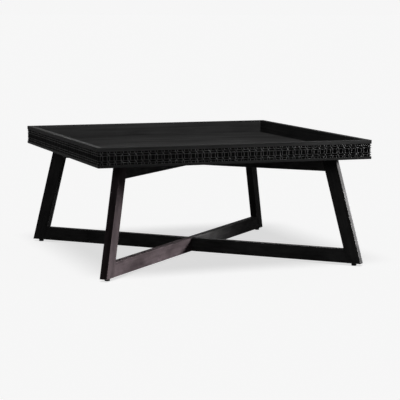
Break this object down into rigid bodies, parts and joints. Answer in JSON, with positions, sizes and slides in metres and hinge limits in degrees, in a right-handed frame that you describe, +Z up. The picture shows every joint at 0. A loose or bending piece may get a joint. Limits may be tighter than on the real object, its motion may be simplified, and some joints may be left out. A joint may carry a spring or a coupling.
{
  "type": "tray-top coffee table",
  "caption": "Low square tray table in black wood: a banded carved rim round a sunken flat panel, carried by crossed frames with leaning legs on levelling feet.",
  "frame": {"origin": "on the floor under the middle of the table, with the levelling feet screwed right in", "axes": "+X to the right along the front rim, +Y from the front rim to the back rim, +Z up"},
  "size_m": [0.9, 0.9, 0.4073],
  "materials": {
    "rim_lacquer": "black stain under satin lacquer, carved",
    "panel_lacquer": "black stain under satin lacquer, grain along X",
    "frame_lacquer": "black stain under satin lacquer",
    "bare_beech": "planed, unfinished",
    "zinc_steel": "zinc plated",
    "insert_brass": "turned",
    "pad_nylon": "moulded, matt black"
  },
  "bodies": {
    "table": {"front_rim": "rim_lacquer", "right_rim": "rim_lacquer", "back_rim": "rim_lacquer", "left_rim": "rim_lacquer", "front_right_corner_spline": "bare_beech", "back_right_corner_spline": "bare_beech", "back_left_corner_spline": "bare_beech", "front_left_corner_spline": "bare_beech", "panel_board_1": "panel_lacquer", "panel_board_2": "panel_lacquer", "panel_board_3": "panel_lacquer", "panel_board_4": "panel_lacquer", "panel_board_5": "panel_lacquer", "panel_board_6": "panel_lacquer", "panel_board_7": "panel_lacquer", "frame_a_bottom_rail": "frame_lacquer", "frame_a_top_rail": "frame_lacquer", "frame_a_screw_1": "zinc_steel", "frame_a_screw_2": "zinc_steel", "frame_a_screw_3": "zinc_steel", "frame_a_screw_4": "zinc_steel", "frame_b_bottom_rail": "frame_lacquer", "frame_b_top_rail": "frame_lacquer", "frame_b_screw_1": "zinc_steel", "frame_b_screw_2": "zinc_steel", "frame_b_screw_3": "zinc_steel", "frame_b_screw_4": "zinc_steel", "front_right_leg": "frame_lacquer", "front_right_bottom_tenon": "bare_beech", "front_right_top_tenon": "bare_beech", "front_right_foot_insert": "insert_brass", "back_right_leg": "frame_lacquer", "back_right_bottom_tenon": "bare_beech", "back_right_top_tenon": "bare_beech", "back_right_foot_insert": "insert_brass", "back_left_leg": "frame_lacquer", "back_left_bottom_tenon": "bare_beech", "back_left_top_tenon": "bare_beech", "back_left_foot_insert": "insert_brass", "front_left_leg": "frame_lacquer", "front_left_bottom_tenon": "bare_beech", "front_left_top_tenon": "bare_beech", "front_left_foot_insert": "insert_brass"},
    "front_right_foot": {"front_right_foot_pad": "pad_nylon", "front_right_foot_stud": "zinc_steel"},
    "back_right_foot": {"back_right_foot_pad": "pad_nylon", "back_right_foot_stud": "zinc_steel"},
    "back_left_foot": {"back_left_foot_pad": "pad_nylon", "back_left_foot_stud": "zinc_steel"},
    "front_left_foot": {"front_left_foot_pad": "pad_nylon", "front_left_foot_stud": "zinc_steel"}
  },
  "joints": [
    {"name": "front_right_foot_travel", "type": "slide", "parent": "table", "child": "front_right_foot", "axis": [0, 0, -1], "range_m": [0, 0.008]},
    {"name": "back_right_foot_travel", "type": "slide", "parent": "table", "child": "back_right_foot", "axis": [0, 0, -1], "range_m": [0, 0.008]},
    {"name": "back_left_foot_travel", "type": "slide", "parent": "table", "child": "back_left_foot", "axis": [0, 0, -1], "range_m": [0, 0.008]},
    {"name": "front_left_foot_travel", "type": "slide", "parent": "table", "child": "front_left_foot", "axis": [0, 0, -1], "range_m": [0, 0.008]}
  ]
}
